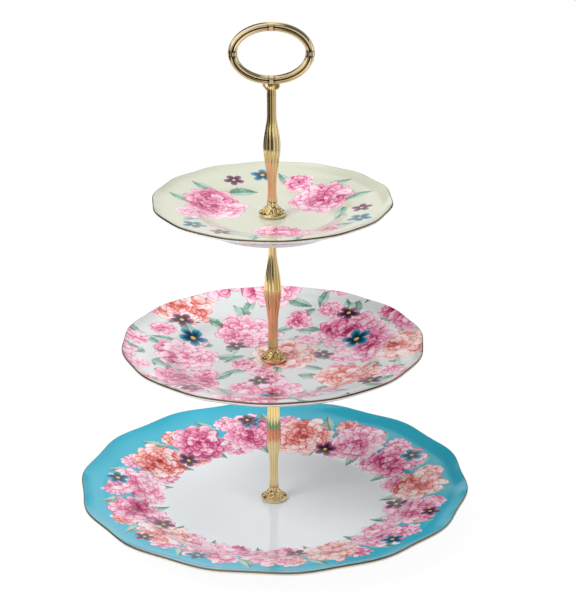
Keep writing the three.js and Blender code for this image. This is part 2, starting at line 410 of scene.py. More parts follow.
def makeFlat(name, settings):
    # Its paint fades out so that no hard line shows in a reflection
    (low, high), soft, shade = settings["heights"], settings["soft"], settings["shade"]
    first, last = [radians(angle) for angle in settings["angles"]]
    middle, reach = (first + last) / 2, (last - first) / 2
    material = newMaterial(name + "Flat")
    x, y, z = splitParts(newNode("TexCoord").outputs["Object"])
    sideways = timesPlus(y, cos(middle), times(x, -sin(middle)))
    outwards = timesPlus(x, cos(middle), times(y, sin(middle)))
    turn = calc("ABSOLUTE", calc("ARCTAN2", sideways, outwards))
    cover = fade(turn, reach, reach - soft / settings["radius"])
    cover = times(cover, fade(z, high * mm, (high - soft) * mm))
    board = newNode("Emission", {"Color": (shade, shade, shade, 1)})
    coverWith(mixShaders(cover, newNode("BsdfTransparent"), board))
    bm = bmesh.new()
    ends, edges = addChain(bm, [(settings["radius"] * mm, 0, height * mm) for height in (low, high)])
    rotate(bm, ends, "Z", first)
    spin(bm, ends + edges, last - first, steps=24)
    flat = meshObject(name + "Flat", bm, material)
    for rays in ("camera", "diffuse", "shadow", "transmission"):
        setattr(flat, "visible_" + rays, False)


# Printed motifs. Each is drawn in its own place, where its radius or length is 1.
rosette = {
    # petals and reach of each ring, from the outside in
    "rings": ((12, 1.0), (12, 0.85), (11, 0.7), (9, 0.55), (7, 0.4), (5, 0.26)),
    "ruffle": ((2.1, 0.36), (6.5, 0.1)),  # scale and strength of each
    "uneven": 0.2,  # how much the petals of a ring differ in length
    "lobe": (2.6, 0.22),  # how square a petal ends, and how far the outline draws in between petals
    "ground": 0.1,
    "rise": (0.6, 0.26),  # what a petal gains in tone from its root outwards, and the tone there
    "seam": (9.0, 0.5),  # sharpness and darkness of the gap between petals
    "luck": (0.5, -0.22),  # how much a petal's tone varies, and its shift
    "line": (0.04, 0.62),  # width and darkness of the line inside a petal's edge
    "heart": (0.13, 0.05),  # radius and tone
    "streaks": (60.0, 0.36),  # number and strength
    "wash": (1.3, 1.0),  # scale and strength
    "variety": 0.24,  # how much one flower is paler than the next
    "softness": 0.015,
}
leaf = {
    "width": 0.23,
    "bend": 0.18,  # how far its tip lies to one side
    "taper": 0.8,
    "teeth": (7, 0.05),  # number and depth
    "halves": (0.3, 0.35),  # what the paler half has more, and the tone of the darker one
    "rib": (0.025, 0.008, 0.35),  # where it starts and is full, and its darkness
    "vein": (0.25, 0.18),  # its share of a tooth, and its darkness
    "wash": (3.0, 0.7, -0.3),  # scale, strength and shift
    "softness": 0.02,
}
starFlower = {
    "petals": 5,
    "notch": (2.5, 0.5),  # how square a petal ends, and the depth between petals
    "rib": (0.12, 0.3),  # half its width, and its darkness
    "heart": 0.2,
    "softness": 0.04,
}


def acrossPetal(spot):
    # 0 in the middle of a petal and 1 at its sides, where spot runs from 0 to 1 across it
    return times(calc("ABSOLUTE", minus(spot, 0.5)), 2.0)


def makeRosette():
    inlet, outlet = newGroup("rosette", {"Place": "Vector", "Seed": "Float"}, ("Cover", "Tone"))
    place, seed = inlet.outputs[0], inlet.outputs[1]
    shifted = calcVector("ADD", place, joinParts(z=times(seed, 9.0)))
    for scale, strength in rosette["ruffle"]:
        ruffle = calcVector("SUBTRACT", grain(shifted, scale, output="Color"), (0.5, 0.5, 0.5))
        place = calcVector("MULTIPLY_ADD", ruffle, (strength, strength, 0), place)
    far, turn = polar(place)
    soft, uneven = rosette["softness"], rosette["uneven"]
    roundness, drawnIn = rosette["lobe"]
    seamSharpness, seamDarkness = rosette["seam"]
    lineWidth, lineDarkness = rosette["line"]
    heart, heartTone = rosette["heart"]
    reaches = [reach for _, reach in rosette["rings"]] + [heart]
    tone, cover = rosette["ground"], None
    for index, (count, reach) in enumerate(rosette["rings"]):
        # the seed turns each ring by its own amount and gives each petal its luck
        spot = timesPlus(turn, count, timesPlus(seed, 3.7 + index, index * 0.5))
        petal = calc("FLOOR", spot)
        across = acrossPetal(minus(spot, petal))
        whole = calc("WRAP", petal, count, 0.0)
        luck = chance(plus(whole, timesPlus(seed, 31.0, index * 17.0)))
        size = timesPlus(luck, uneven, 1 - uneven * 0.6)
        lobe = times(calc("POWER", across, roundness), drawnIn)
        edge = times(minus(1.0, lobe), times(size, reach))
        inside = fade(far, edge, minus(edge, 2 * soft))
        shade = timesPlus(fade(far, reaches[index + 1] * 0.8, edge), *rosette["rise"])
        seam = times(calc("POWER", across, seamSharpness), seamDarkness)
        shade = plus(minus(shade, seam), timesPlus(luck, *rosette["luck"]))
        line = fade(far, minus(edge, lineWidth * 1.6), minus(edge, lineWidth * 0.5))
        shade = minus(shade, times(line, lineDarkness))
        tone = towards(tone, shade, inside)
        cover = inside if cover is None else calc("MAXIMUM", cover, inside)
    tone = towards(tone, heartTone, fade(far, heart, heart * 0.5))
    count, strength = rosette["streaks"]
    streaks = grain(joinParts(times(turn, count), far, seed), 1.0, 1.0)
    tone = plus(tone, timesPlus(streaks, strength, -strength / 2))
    scale, strength = rosette["wash"]
    wash = grain(calcVector("ADD", shifted, (7, 7, 7)), scale, 1.0)
    tone = plus(tone, timesPlus(wash, strength, -strength / 2))
    pale = minus(chance(plus(seed, 0.3)), 0.5)
    tone = timesPlus(pale, rosette["variety"], tone)
    return closeGroup(outlet, cover, keepIn(tone))


def makeLeaf():
    inlet, outlet = newGroup("leaf", {"Place": "Vector"}, ("Cover", "Tone"))
    x, y, _ = splitParts(inlet.outputs[0])
    teeth, toothDepth = leaf["teeth"]
    ribStart, ribFull, ribDarkness = leaf["rib"]
    veinShare, veinDarkness = leaf["vein"]
    scale, strength, shift = leaf["wash"]
    y = timesPlus(times(x, x), -leaf["bend"], y)
    side = calc("ABSOLUTE", y)
    belly = calc("SINE", times(calc("POWER", keepIn(x), leaf["taper"]), pi))
    vein = calc("FRACT", times(minus(x, side), teeth))
    half = times(belly, timesPlus(vein, -toothDepth, leaf["width"]))
    cover = fade(side, half, minus(half, leaf["softness"]))
    cover = times(cover, fade(x, 0.0, 0.04))
    light = timesPlus(fade(y, -0.06, 0.06), *leaf["halves"])
    light = minus(light, times(fade(side, ribStart, ribFull), ribDarkness))
    light = minus(light, times(fade(vein, veinShare, 0.0), veinDarkness))
    light = plus(light, timesPlus(grain(inlet.outputs[0], scale), strength, shift))
    return closeGroup(outlet, cover, light)


def makeStarFlower():
    inlet, outlet = newGroup("starFlower", {"Place": "Vector"}, ("Cover", "Tone", "Heart"))
    far, turn = polar(inlet.outputs[0])
    across = acrossPetal(calc("FRACT", times(turn, starFlower["petals"])))
    roundness, depth = starFlower["notch"]
    edge = timesPlus(calc("POWER", across, roundness), -depth, 1.0)
    cover = fade(far, edge, minus(edge, 2 * starFlower["softness"]))
    ribWidth, ribDarkness = starFlower["rib"]
    rib = times(fade(across, ribWidth, 0.0), ribDarkness)
    tone = minus(fade(far, 0.1, edge), rib)
    heart = fade(far, starFlower["heart"], starFlower["heart"] * 0.6)
    return closeGroup(outlet, cover, tone, heart)


motifs = {"rosette": makeRosette(), "leaf": makeLeaf(), "starFlower": makeStarFlower()}
print("motifs drawn")

inks = {
    "pink": ((0.0, "#9c2456"), (0.2, "#d8548b"), (0.42, "#ec86ae"), (0.66, "#f7b6cf"), (0.92, "#ffe6ef")),
    "coral": ((0.0, "#a8282c"), (0.2, "#da504b"), (0.42, "#ec8a83"), (0.66, "#f6c1bd"), (0.92, "#fdeeec")),
    "green": ((0.0, "#1c4c3c"), (0.3, "#568b76"), (0.62, "#a4c6b7"), (1.0, "#e2eee8")),
    "teal": ((0.0, "#06202f"), (0.6, "#155f80"), (1.0, "#5fb0c8")),
    "plum": ((0.0, "#240d20"), (0.6, "#5c2448"), (1.0, "#a0668c")),
    "heart": "#e2c163",
}


def ringPlace(spot, count, start, reach, size, turn=0.0, wobble=0.0):
    # Repeats a motif round a plate's middle, from start in degrees. Gives its own place and the number of
    # the copy.
    x, y, _ = splitParts(spot)
    share = timesPlus(turnShare(x, y), count, 0.5 - start * count / 360)
    whole = calc("FLOOR", share)
    index = calc("WRAP", whole, count, 0.0)
    angle = times(minus(minus(share, whole), 0.5), wholeTurn / count)
    far = calcVector("LENGTH", joinParts(x, y))
    if wobble:
        luck = chance(plus(index, 0.37))
        reach = timesPlus(luck, wobble, reach - wobble / 2)
    along = times(calc("SINE", angle), far)
    out = minus(times(calc("COSINE", angle), far), reach)
    place = calcVector("MULTIPLY", joinParts(along, out), (1 / size, 1 / size, 0))
    return spinPlace(place, radians(turn)) if turn else place, index


def scatterPlace(spot, spacing, size, looseness, shift):
    # Strews a motif all over. Gives its own place, turned at random, and two random numbers.
    moved = calcVector("ADD", spot, (shift, shift * 0.6, 0))
    values = {"Vector": moved, "Scale": 1 / spacing, "Randomness": looseness}
    node = newNode("TexVoronoi", values, voronoi_dimensions="2D")
    luck = splitParts(node.outputs["Color"])
    place = calcVector("SUBTRACT", moved, node.outputs["Position"])
    place = calcVector("MULTIPLY", place, (1 / size, 1 / size, 0))
    return spinPlace(place, times(luck[0], wholeTurn)), luck[1], luck[2]


def printRosettes(colour, place, seed, coral):
    # coral is 0 for a pink flower and 1 for a coral one
    cover, tone = useGroup(motifs["rosette"], place, seed)
    flower = layColour(coral, ramp(tone, inks["pink"]), ramp(tone, inks["coral"]))
    return layColour(cover, colour, flower)


def printLeaves(colour, place):
    cover, tone = useGroup(motifs["leaf"], place)
    return layColour(cover, colour, ramp(tone, inks["green"]))


def leafRings(colour, spot, count, rings):
    # Each ring of leaves is its start, reach, size and turn
    for ring in rings:
        place, _ = ringPlace(spot, count, *ring)
        colour = printLeaves(colour, place)
    return colour


def starRings(colour, spot, rings):
    # Each ring of star flowers is its ink, count, start, reach, size and turn
    for ink, *ring in rings:
        place, _ = ringPlace(spot, *ring)
        cover, tone, heart = useGroup(motifs["starFlower"], place)
        flower = layColour(heart, ramp(tone, inks[ink]), paint(inks["heart"]))
        colour = layColour(cover, colour, flower)
    return colour


garland = {
    "well": "#eff4f7",
    "rim": ("#24adc9", "#40bdd4"),
    "rimFrom": (97, 98),
    "count": 15,
    "leaves": ((12, 98, 20, -115), (8.64, 95, 22, 60), (17.76, 104, 21, -50), (2.4, 94, 22, 118)),
    "buds": {"start": 12, "rings": ((86, 11.5), (110.5, 10.5)), "wobble": 5, "coralOver": 0.8},
    "blooms": {"start": 4, "reach": 98.5, "size": 21.5, "wobble": 7},
    "stars": (("teal", 5, 27, 112, 9, 20), ("plum", 5, 64, 86, 8.5, 20), ("plum", 3, 100, 114, 7.5, 20)),
}


def printGarland(spot):
    # White well, turquoise rim, and a garland where they meet, with every third bloom coral
    count, buds = garland["count"], garland["buds"]
    rim = layColour(grain(spot, 0.02), *[paint(code) for code in garland["rim"]])
    onRim = fade(calcVector("LENGTH", spot), *garland["rimFrom"])
    colour = layColour(onRim, paint(garland["well"]), rim)
    colour = leafRings(colour, spot, count, garland["leaves"])
    for reach, size in buds["rings"]:
        place, index = ringPlace(spot, count, buds["start"], reach, size, wobble=buds["wobble"])
        seed = chance(plus(index, reach * 0.1))
        coral = calc("GREATER_THAN", seed, buds["coralOver"])
        colour = printRosettes(colour, place, seed, coral)
    place, index = ringPlace(spot, count, **garland["blooms"])
    everyThird = calc("LESS_THAN", calc("WRAP", index, 3, 0.0), 0.5)
    colour = printRosettes(colour, place, chance(index), everyThird)
    return starRings(colour, spot, garland["stars"])


allOver = {
    "ground": "#dfe4e4",
    "leaves": {"spacing": 25, "size": 19, "looseness": 0.8, "shift": 11},
    "blooms": {"spacing": 53, "size": 25, "looseness": 0.7, "shift": 23},
    # angle, start and length of each leaf round a bloom, where the bloom's radius is 1
    "bloomLeaves": ((25, 0.72, 1.0), (75, 0.8, 0.8), (150, 0.7, 1.0), (205, 0.78, 0.8), (300, 0.75, 0.95)),
    "buds": {"spacing": 33, "size": 10.5, "looseness": 0.9, "shift": 71},
    "coralOver": 0.84,
    "stars": (("teal", 3, 148, 66, 11, 10), ("plum", 4, 50, 84, 9, 10), ("plum", 3, 15, 36, 8, 10)),
}


def printAllOver(spot):
    # Blooms strewn over leaves on white, each with a few leaves of its own
    place, _, _ = scatterPlace(spot, **allOver["leaves"])
    colour = printLeaves(paint(allOver["ground"]), calcVector("ADD", place, (0.5, 0, 0)))
    place, luck, other = scatterPlace(spot, **allOver["blooms"])
    for angle, start, length in allOver["bloomLeaves"]:
        blade = spinPlace(place, radians(-angle))
        blade = calcVector("MULTIPLY_ADD", blade, (1 / length, 1 / length, 0), (-start / length, 0, 0))
        colour = printLeaves(colour, blade)
    bud, budLuck, _ = scatterPlace(spot, **allOver["buds"])
    colour = printRosettes(colour, bud, budLuck, 0.0)
    coral = calc("GREATER_THAN", other, allOver["coralOver"])
    colour = printRosettes(colour, place, luck, coral)
    return starRings(colour, spot, allOver["stars"])


sprays = {
    "ground": "#d6d8c4",
    "count": 3,
    "leaves": ((-73, 54, 21, -100), (-48, 50, 21, -30), (-112, 48, 21, 165), (-102, 52, 21, -75)),
    # start, reach, size, wobble and seed of the small rosettes and the large ones
    "rosettes": ((-50, 54, 11, 2, 5.2), (-82, 42, 23, 0, 2.6)),
    "stars": (("teal", 3, -24, 63, 9, 15), ("plum", 3, -124, 60, 7.5, 30)),
}


def printSprays(spot):
    # Sprays on cream, with small star flowers between them
    colour = leafRings(paint(sprays["ground"]), spot, sprays["count"], sprays["leaves"])
    for start, reach, size, wobble, seed in sprays["rosettes"]:
        place, index = ringPlace(spot, sprays["count"], start, reach, size, wobble=wobble)
        colour = printRosettes(colour, place, chance(plus(index, seed)), 0.0)
    return starRings(colour, spot, sprays["stars"])


scallops = 14
plates = {
    "bottom": {
        "rim": 135, "rise": 14.3, "well": 82, "shoulder": 98, "shoulderRise": 6.0, "wellThickness": 4.0,
        "rimThickness": 2.4, "foot": 82, "footWidth": 3.2, "scallop": 1.2, "phase": -6.4,
    },
    "middle": {
        "rim": 103.6, "rise": 14.3, "well": 60, "shoulder": 73, "shoulderRise": 6.0, "wellThickness": 4.0,
        "rimThickness": 2.2, "foot": 59.5, "footWidth": 2.8, "scallop": 0.6, "phase": 9.5,
    },
    "top": {
        "rim": 80.8, "rise": 11.9, "well": 37, "shoulder": 51, "shoulderRise": 5.2, "wellThickness": 3.2,
        "rimThickness": 2.0, "foot": 44.5, "footWidth": 2.4, "scallop": 0.55, "phase": -8.7,
    },
}
china = {
    "hole": 3.2,
    "pullIn": 0.35,  # how far the rim stays inside its CAD solid
    "lip": 0.65,
    "segments": scallops * 12,
    "rimWave": 0.12,  # the rim lifts a little at each lobe
    "crease": 28,
    # body: the unprinted underside's colour, darkened a little as painted shade
    "body": "#e6e4e3",
    "glaze": {"Roughness": 0.08, "Coat Weight": 0.1, "Coat Roughness": 0.03, "Specular IOR Level": 0.45},
    "ripple": {"scale": 55, "strength": 0.05, "metres": 0.0006},
    # the gilt line's gold is darkened to brown as a painted dark reflection
    "giltLine": {"colour": "#8a7654", "roughness": 0.14, "width": 0.7, "wander": 0.4, "softness": 0.1},
}


def plateOutline(size, footBottom):
    hole, lip, under, thin = china["hole"], china["lip"], -size["wellThickness"], size["rimThickness"]
    rim, rise = size["rim"] - china["pullIn"], size["rise"]
    well, shoulder, lift = size["well"], size["shoulder"], size["shoulderRise"]
    inner, outer = size["foot"] - size["footWidth"] / 2, size["foot"] + size["footWidth"] / 2
    halfway, halfRise = (shoulder + rim) / 2, lift * 0.56 + rise * 0.44
    return [
        (hole, under),
        (inner - 3, under),
        # foot ring
        ((inner - 0.8, under), (inner, footBottom + 0.6), 5),
        ((inner, footBottom), (inner + 0.6, footBottom), 3),
        (outer - 0.6, footBottom),
        ((outer, footBottom), (outer, footBottom + 0.6), 3),
        ((outer + 0.5, under), (outer + 2.4, under + 0.1), 5),
        # underside, out to the rim
        ((shoulder - 4, under + 0.6), (shoulder + 1.5, lift - thin * 1.45), 6),
        ((halfway - 6, halfRise - thin * 1.5), (halfway, halfRise - thin * 1.25), 5),
        ((halfway + 8, halfRise - thin), (rim - lip, rise - thin), 6),
        ((rim - 0.05, rise - thin + 0.05), (rim, rise - thin + lip), 4),
        ((rim, rise - lip), (rim - 0.05, rise - 0.05), (rim - lip, rise), 5),
        # top side, back to the hole
        ((halfway + 8, halfRise + 0.2), (halfway, halfRise), 8),
        ((shoulder + 8, lift + 1.5), (shoulder + 4, lift + 0.75), 5),
        ((shoulder + 0.5, lift + 0.1), (shoulder - 3, lift - 1.6), 6),
        ((well + 3.5, 0), (well - 6, 0), 12),
        (well * 0.66, 0),
        (well * 0.33, 0),
        (hole, 0),
    ]


def makePlate(tier, printOn):
    size = plates[tier]
    node = tier + "_plate"
    material = chinaMaterial(tier, printOn)
    foot, top = heightsOf(node)
    wellHeight = top - size["rise"]
    bm = spinOutline(plateOutline(size, foot - wellHeight), china["segments"], closed=True)
    for vert in bm.verts:
        radius = hypot(vert.co.x, vert.co.y)
        growth = easeBetween(radius, size["shoulder"], size["rim"] - china["pullIn"])
        wave = cos(scallops * (atan2(vert.co.y, vert.co.x) - radians(size["phase"])))
        stretch = 1 + growth * size["scallop"] * wave / radius
        vert.co.x *= stretch
        vert.co.y *= stretch
        vert.co.z += growth ** 2 * china["rimWave"] * (wave - 1)
    move(bm, (0, 0, wellHeight))
    makePiece(bm, tier + "_china", node, node, material, china["crease"])


def inFromRim(spot, size):
    # How far a point lies inside the scalloped rim
    x, y, _ = splitParts(spot)
    angle = minus(calc("ARCTAN2", y, x), radians(size["phase"]))
    wave = calc("COSINE", times(angle, scallops))
    rim = timesPlus(wave, size["scallop"], size["rim"] - china["pullIn"])
    return minus(rim, calcVector("LENGTH", spot))


def chinaMaterial(tier, printOn):
    # The underside stays unprinted, in a body colour darkened a little as painted shade, and a gilt line
    # follows the rim, its gold darkened as painted dark reflection
    ripple, giltLine = china["ripple"], china["giltLine"]
    material = newMaterial(tier + "China")
    coordinates = newNode("TexCoord").outputs
    spot = calcVector("MULTIPLY", coordinates["Object"], (1000, 1000, 0))
    up = splitParts(coordinates["Normal"])[2]
    height = grain(coordinates["Object"], ripple["scale"], 1)
    glaze = newNode("BsdfPrincipled", {
        "Base Color": layColour(fade(up, 0.1, 0.2), paint(china["body"]), printOn(spot)),
        "Normal": bumps(height, ripple["strength"], ripple["metres"]),
        **china["glaze"],
    })
    gilding = newNode("BsdfPrincipled", {
        "Base Color": paint(giltLine["colour"]), "Metallic": 1, "Roughness": giltLine["roughness"],
    })
    width, softness, wander = giltLine["width"], giltLine["softness"], giltLine["wander"]
    unsteady = timesPlus(grain(spot, 0.05), wander, -wander / 2)
    inside = plus(inFromRim(spot, plates[tier]), unsteady)
    line = times(fade(inside, width + softness, width - softness), fade(up, 0.0, 0.12))
    coverWith(mixShaders(line, glaze, gilding))
    return material


# Metals. groove is the colour of painted shade in a piece's grooves and hollows, and how much of it.
finishes = {
    "gilt": {
        "light": "#fbe4ac", "deep": "#f0d08c", "groove": ("#b5763a", 0.4),
        "roughness": (0.08, 0.14), "bump": 0.02, "grain": 140,
    },
    "castGilt": {
        "light": "#fae6b0", "deep": "#eed294", "groove": ("#b5763a", 0.4),
        "roughness": (0.12, 0.19), "bump": 0.02, "grain": 140,
    },
    "paleGilt": {
        "light": "#f4e4bf", "deep": "#e2cc9e", "groove": ("#6b5434", 0.75),
        "roughness": (0.08, 0.14), "bump": 0.015, "grain": 140,
    },
    # leafGilt: gilt with dark painted shade in its grooves and on the collet's web
    "leafGilt": {
        "light": "#fbe4ac", "deep": "#f0d08c", "groove": ("#6b5434", 0.75),
        "roughness": (0.08, 0.14), "bump": 0.02, "grain": 140,
    },
    "steel": {
        "light": "#c9ccd0", "deep": "#9a9da2", "groove": ("#4a4c50", 0.5),
        "roughness": (0.22, 0.34), "bump": 0.08, "grain": 400,
    },
}
metalBumpMetres = 0.0003
silicone = {
    "clear": "#e9e9e4",
    "milky": "#d8d8d0",
    "grain": 220,
    "bump": {"strength": 0.15, "metres": 0.0002},
    "body": {"Roughness": 0.42, "Subsurface Weight": 0.2, "Subsurface Scale": 0.001},
}


def metalMaterial(name):
    finish = finishes[name]
    material = newMaterial(name)
    coordinates = newNode("TexCoord").outputs["Object"]
    tarnish = grain(coordinates, finish["grain"], 3)
    broad = fade(grain(coordinates, finish["grain"] / 5, 2), 0.35, 0.7)
    colour = layColour(broad, paint(finish["light"]), paint(finish["deep"]))
    # the groove attribute holds painted shade, darkest deep in a groove
    groove = newNode("Attribute", attribute_name="groove").outputs["Fac"]
    grooveShadeTint, strength = finish["groove"]
    smooth, rough = finish["roughness"]
    coverWith(newNode("BsdfPrincipled", {
        "Base Color": layColour(times(groove, strength), colour, paint(grooveShadeTint)),
        "Metallic": 1,
        "Roughness": timesPlus(tarnish, rough - smooth, smooth),
        "Normal": bumps(tarnish, finish["bump"], metalBumpMetres),
    }))
    return material


metals = {name: metalMaterial(name) for name in finishes}


def siliconeMaterial():
    material = newMaterial("silicone")
    cloud = grain(newNode("TexCoord").outputs["Object"], silicone["grain"], 3)
    coverWith(newNode("BsdfPrincipled", {
        "Base Color": layColour(cloud, paint(silicone["clear"]), paint(silicone["milky"])),
        "Normal": bumps(cloud, **silicone["bump"]),
        **silicone["body"],
    }))
    return material


# Fluted rods. Their flutes are also those of the collars' necks and of the collet.
rods = {
    "footRadius": 3.5, "headHeight": 2.2, "hole": 2.3, "footBore": 10, "headBore": 7,
    "flutes": 12, "fluteDepth": 0.8, "neckFlute": 0.34, "fluteTurn": -4,
    "segments": 144, "swellSteps": 40, "crease": 44,
    "lower": {"lowerNeck": 13, "rise": 29, "fall": 36, "necks": (2.8, 3.1), "swell": 5.1, "head": 4.2},
    "middle": {"lowerNeck": 15, "rise": 27, "fall": 29, "necks": (3.35, 2.75), "swell": 5.95, "head": 4.2},
    "upper": {"lowerNeck": 10, "rise": 29, "fall": 22, "necks": (2.9, 3.1), "swell": 5.85, "head": 3.12},
    "upperMeets": 0.25,  # the collet sits tight on the upper rod's head
}


def flute(vert, depth, grooveShade):
    # Rounded ridges with sharp grooves between them; each vertex also stores painted shade by how deep in a
    # groove it lies
    turn = atan2(vert.co.y, vert.co.x) + radians(90 - rods["fluteTurn"])
    groove = 1 - abs(sin(rods["flutes"] / 2 * turn))
    stretch = 1 - depth * groove / hypot(vert.co.x, vert.co.y)
    vert.co.x *= stretch
    vert.co.y *= stretch
    vert[grooveShade] = groove * groove


def makeRod(tier, body):
    size, hole, footRadius = rods[tier], rods["hole"], rods["footRadius"]
    node = tier + "_rod"
    foot, end = heightsOf(node)
    length = end - foot
    (neck, upperNeck), head, swell = size["necks"], size["head"], size["swell"]
    start, peak = size["lowerNeck"], size["lowerNeck"] + size["rise"]
    end = peak + size["fall"]
    underHead = length - rods["headHeight"]
    top = length + (rods["upperMeets"] if tier == "upper" else 0)

    def swellAt(height):
        return easeBetween(height, start, peak) * (1 - easeBetween(height, peak, end))

    outline = [
        (0, rods["footBore"]), (hole, rods["footBore"]), (hole, 0),
        (footRadius - 0.1, 0), (footRadius, 0.1), ((neck, 2.5), (neck, start - 2), 8),
    ]
    for i in range(rods["swellSteps"] + 1):
        height = start + (end - start) * i / rods["swellSteps"]
        thinnest = neck if height < peak else upperNeck
        outline.append((thinnest + (swell - thinnest) * swellAt(height), height))
    outline += [
        (upperNeck, underHead - 2.4),
        ((upperNeck, underHead - 0.6), (head, underHead), 4),
        (head, top), (hole, top), (hole, length - rods["headBore"]), (0, length - rods["headBore"]),
    ]
    bm = spinOutline(outline, rods["segments"])
    flutedTo = top + 1 if tier == "upper" else underHead - 1.5
    deeper = rods["fluteDepth"] - rods["neckFlute"]
    # painted shade, darkest in the flutes' grooves
    grooveShade = bm.verts.layers.float.new("groove")
    for vert in bm.verts:
        if hypot(vert.co.x, vert.co.y) > hole + 0.1 and vert.co.z < flutedTo:
            flute(vert, rods["neckFlute"] + deeper * swellAt(vert.co.z), grooveShade)
    move(bm, (0, 0, foot))
    makePiece(bm, tier + "_baluster", node, body, metals["gilt"], rods["crease"])


collar = {
    "disc": 9.1, "discHeight": 1.8, "bore": 2.5, "neck": 3.5, "lobes": 6, "segments": 144, "crease": 44,
    "turn": {"lower": 8, "middle": 2, "upper": -2},
    "lean": 52,
    "scroll": {"reach": 5.25, "lift": 3.7, "size": 1.6, "bar": 0.68, "segments": 28, "sides": 10},
    "curl": {"reach": 5.5, "lift": 3.0, "size": 0.55, "bar": 0.34, "segments": 16, "sides": 8},
    "bead": {"reach": 6.7, "lift": 2.05, "size": 0.66},
    "tip": {"reach": 4.35, "lift": 5.3, "size": 0.6},
}


def addTorus(bm, spec):
    made = bmesh.ops.create_circle(bm, segments=spec["sides"], radius=spec["bar"])["verts"]
    before = set(bm.verts) - set(made)
    rotate(bm, made, "X", pi / 2)
    move(bm, (spec["size"], 0, 0), made)
    spin(bm, made + edgesOf(made), wholeTurn, spec["segments"], merge=True)
    return [vert for vert in bm.verts if vert not in before]


def makeCollar(tier, body):
    node = tier + "_collar"
    base, top = heightsOf(node)
    height = top - base
    disc, shelf, neck, bore = collar["disc"], collar["discHeight"], collar["neck"], collar["bore"]
    bm = spinOutline([
        (bore, 0),
        (disc - 0.5, 0),
        ((disc, 0), (disc, 0.5), 4),
        (disc, shelf - 0.8),
        ((disc, shelf - 0.15), (disc - 0.8, shelf), 5),
        (disc - 1.3, shelf - 0.3),
        (disc - 1.8, shelf - 0.1),
        # dome, and the neck above it
        ((5.9, shelf + 0.1), (5.6, shelf + 1.4), (4.7, shelf + 2.9), 5),
        ((neck + 0.2, shelf + 4.0), (neck, shelf + 5.2), 5),
        (neck, height - 0.1),
        (neck - 0.1, height),
        (bore, height),
    ], collar["segments"], closed=True)
    # painted shade, darkest in the neck's flute grooves
    grooveShade = bm.verts.layers.float.new("groove")
    for vert in bm.verts:
        if vert.co.z > shelf + 4.5 and hypot(vert.co.x, vert.co.y) > neck - 0.2:
            flute(vert, rods["neckFlute"], grooveShade)

    def setDown(verts, turn, spec, lean=0):
        bmesh.ops.transform(bm, verts=verts, matrix=Matrix.Rotation(radians(turn - 90), 4, "Z")
                            @ Matrix.Translation((spec["reach"], 0, spec["lift"]))
                            @ Matrix.Rotation(radians(lean), 4, "Y"))

    # ring-shaped scrolls lean on the dome, each with a curl in it and a bead and a tip beside it
    step = 360 / collar["lobes"]
    for i in range(collar["lobes"]):
        turn = step * (i + 0.5) + collar["turn"][tier]
        for spec in (collar["scroll"], collar["curl"]):
            setDown(addTorus(bm, spec), turn, spec, collar["lean"])
        for spec in (collar["bead"], collar["tip"]):
            drop = bmesh.ops.create_uvsphere(bm, u_segments=14, v_segments=9, radius=spec["size"])["verts"]
            setDown(drop, turn - step / 2, spec)
    move(bm, (0, 0, base))
    makePiece(bm, tier + "_scroll_collar", node, body, metals["castGilt"], collar["crease"])


washer = {"bore": 2.5, "softEdge": 0.16, "metalEdge": 0.12, "segments": 72, "crease": 40}
stud = {"segments": 32, "chamfer": 0.3, "crease": 30}
thread = {"pitch": 0.7, "core": 1.62, "crest": 1.98, "steps": 24}
smallThread = {"pitch": 0.5, "core": 1.2, "crest": 1.48, "steps": 20}
screw = {
    "head": 7.5, "headHeight": 1.8, "slotWidth": 1.6, "slotDepth": 0.9, "segments": 64,
    "headRound": (1.0, 0.8),  # how far in and how far up the round of the head's edge reaches
}


def makeWasher(node, body, material, edgeRound):
    bottom, top = heightsOf(node)
    bore, reach = washer["bore"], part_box(node)[1].x / mm
    outline = [(bore, bottom), (reach, bottom), (reach, top), (bore, top)]
    bm = spinOutline(outline, washer["segments"], closed=True)
    crease = radians(washer["crease"])
    corners = [edge for edge in bm.edges if len(edge.link_faces) == 2 and edge.calc_face_angle() > crease]
    bmesh.ops.bevel(bm, geom=corners, offset=edgeRound, offset_type="OFFSET", segments=3, profile=0.5,
                    affect="EDGES", clamp_overlap=True, material=-1)
    makePiece(bm, node.replace("_washer", "_ring"), node, body, material, washer["crease"])


def addThread(bm, size, bottom, top):
    # A ridge that climbs the core, one pitch a turn
    pitch, root = size["pitch"], size["core"] - 0.05
    turns = int((top - bottom) / pitch) - 1
    half = pitch * 0.42
    chain, edges = addChain(bm, ((root, 0, -half), (size["crest"], 0, 0), (root, 0, half)), closed=True)
    move(bm, (0, 0, bottom + pitch * 0.6), chain)
    spin(bm, chain + edges, turns * wholeTurn, turns * size["steps"], climb=pitch / size["steps"])
    closeEnds(bm)


def makeStud(node, body, size):
    bottom, top = heightsOf(node)
    core, chamfer = size["core"], stud["chamfer"]
    bm = spinOutline([
        (0, bottom), (core - chamfer, bottom), (core, bottom + chamfer),
        (core, top - chamfer), (core - chamfer, top), (0, top),
    ], stud["segments"])
    addThread(bm, size, bottom, top)
    makePiece(bm, node.replace("_stud", "_thread"), node, body, metals["steel"], stud["crease"])


